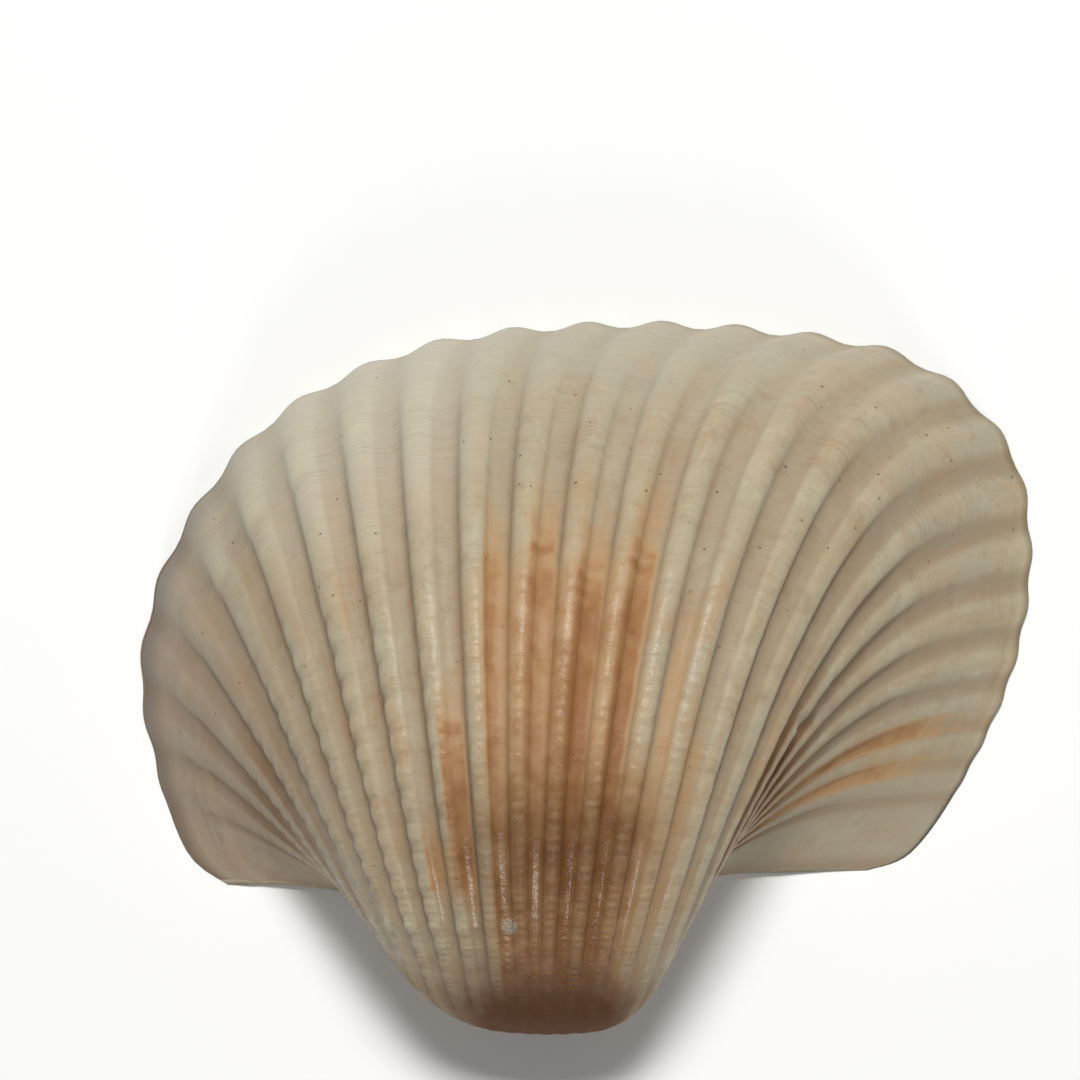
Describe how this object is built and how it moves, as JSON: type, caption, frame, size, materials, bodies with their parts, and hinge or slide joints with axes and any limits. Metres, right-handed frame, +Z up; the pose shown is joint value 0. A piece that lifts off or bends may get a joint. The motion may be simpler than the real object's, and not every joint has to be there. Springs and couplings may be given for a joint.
{
  "type": "cockle shell",
  "caption": "Single cup-shaped bivalve shell half with radial ribs, a scalloped rim, a straight hinge and a curled beak.",
  "frame": {"origin": "under the middle of the valve's bounding box, on the plane that the rim rests on", "axes": "+X along the hinge line from the front end to the rear end, +Y from the hinge to the scalloped belly margin, +Z up out of the domed outside"},
  "size_m": [0.0566, 0.046, 0.0207],
  "materials": {
    "shell": "satin"
  },
  "bodies": {
    "root": {"valve": "shell"}
  },
  "joints": []
}
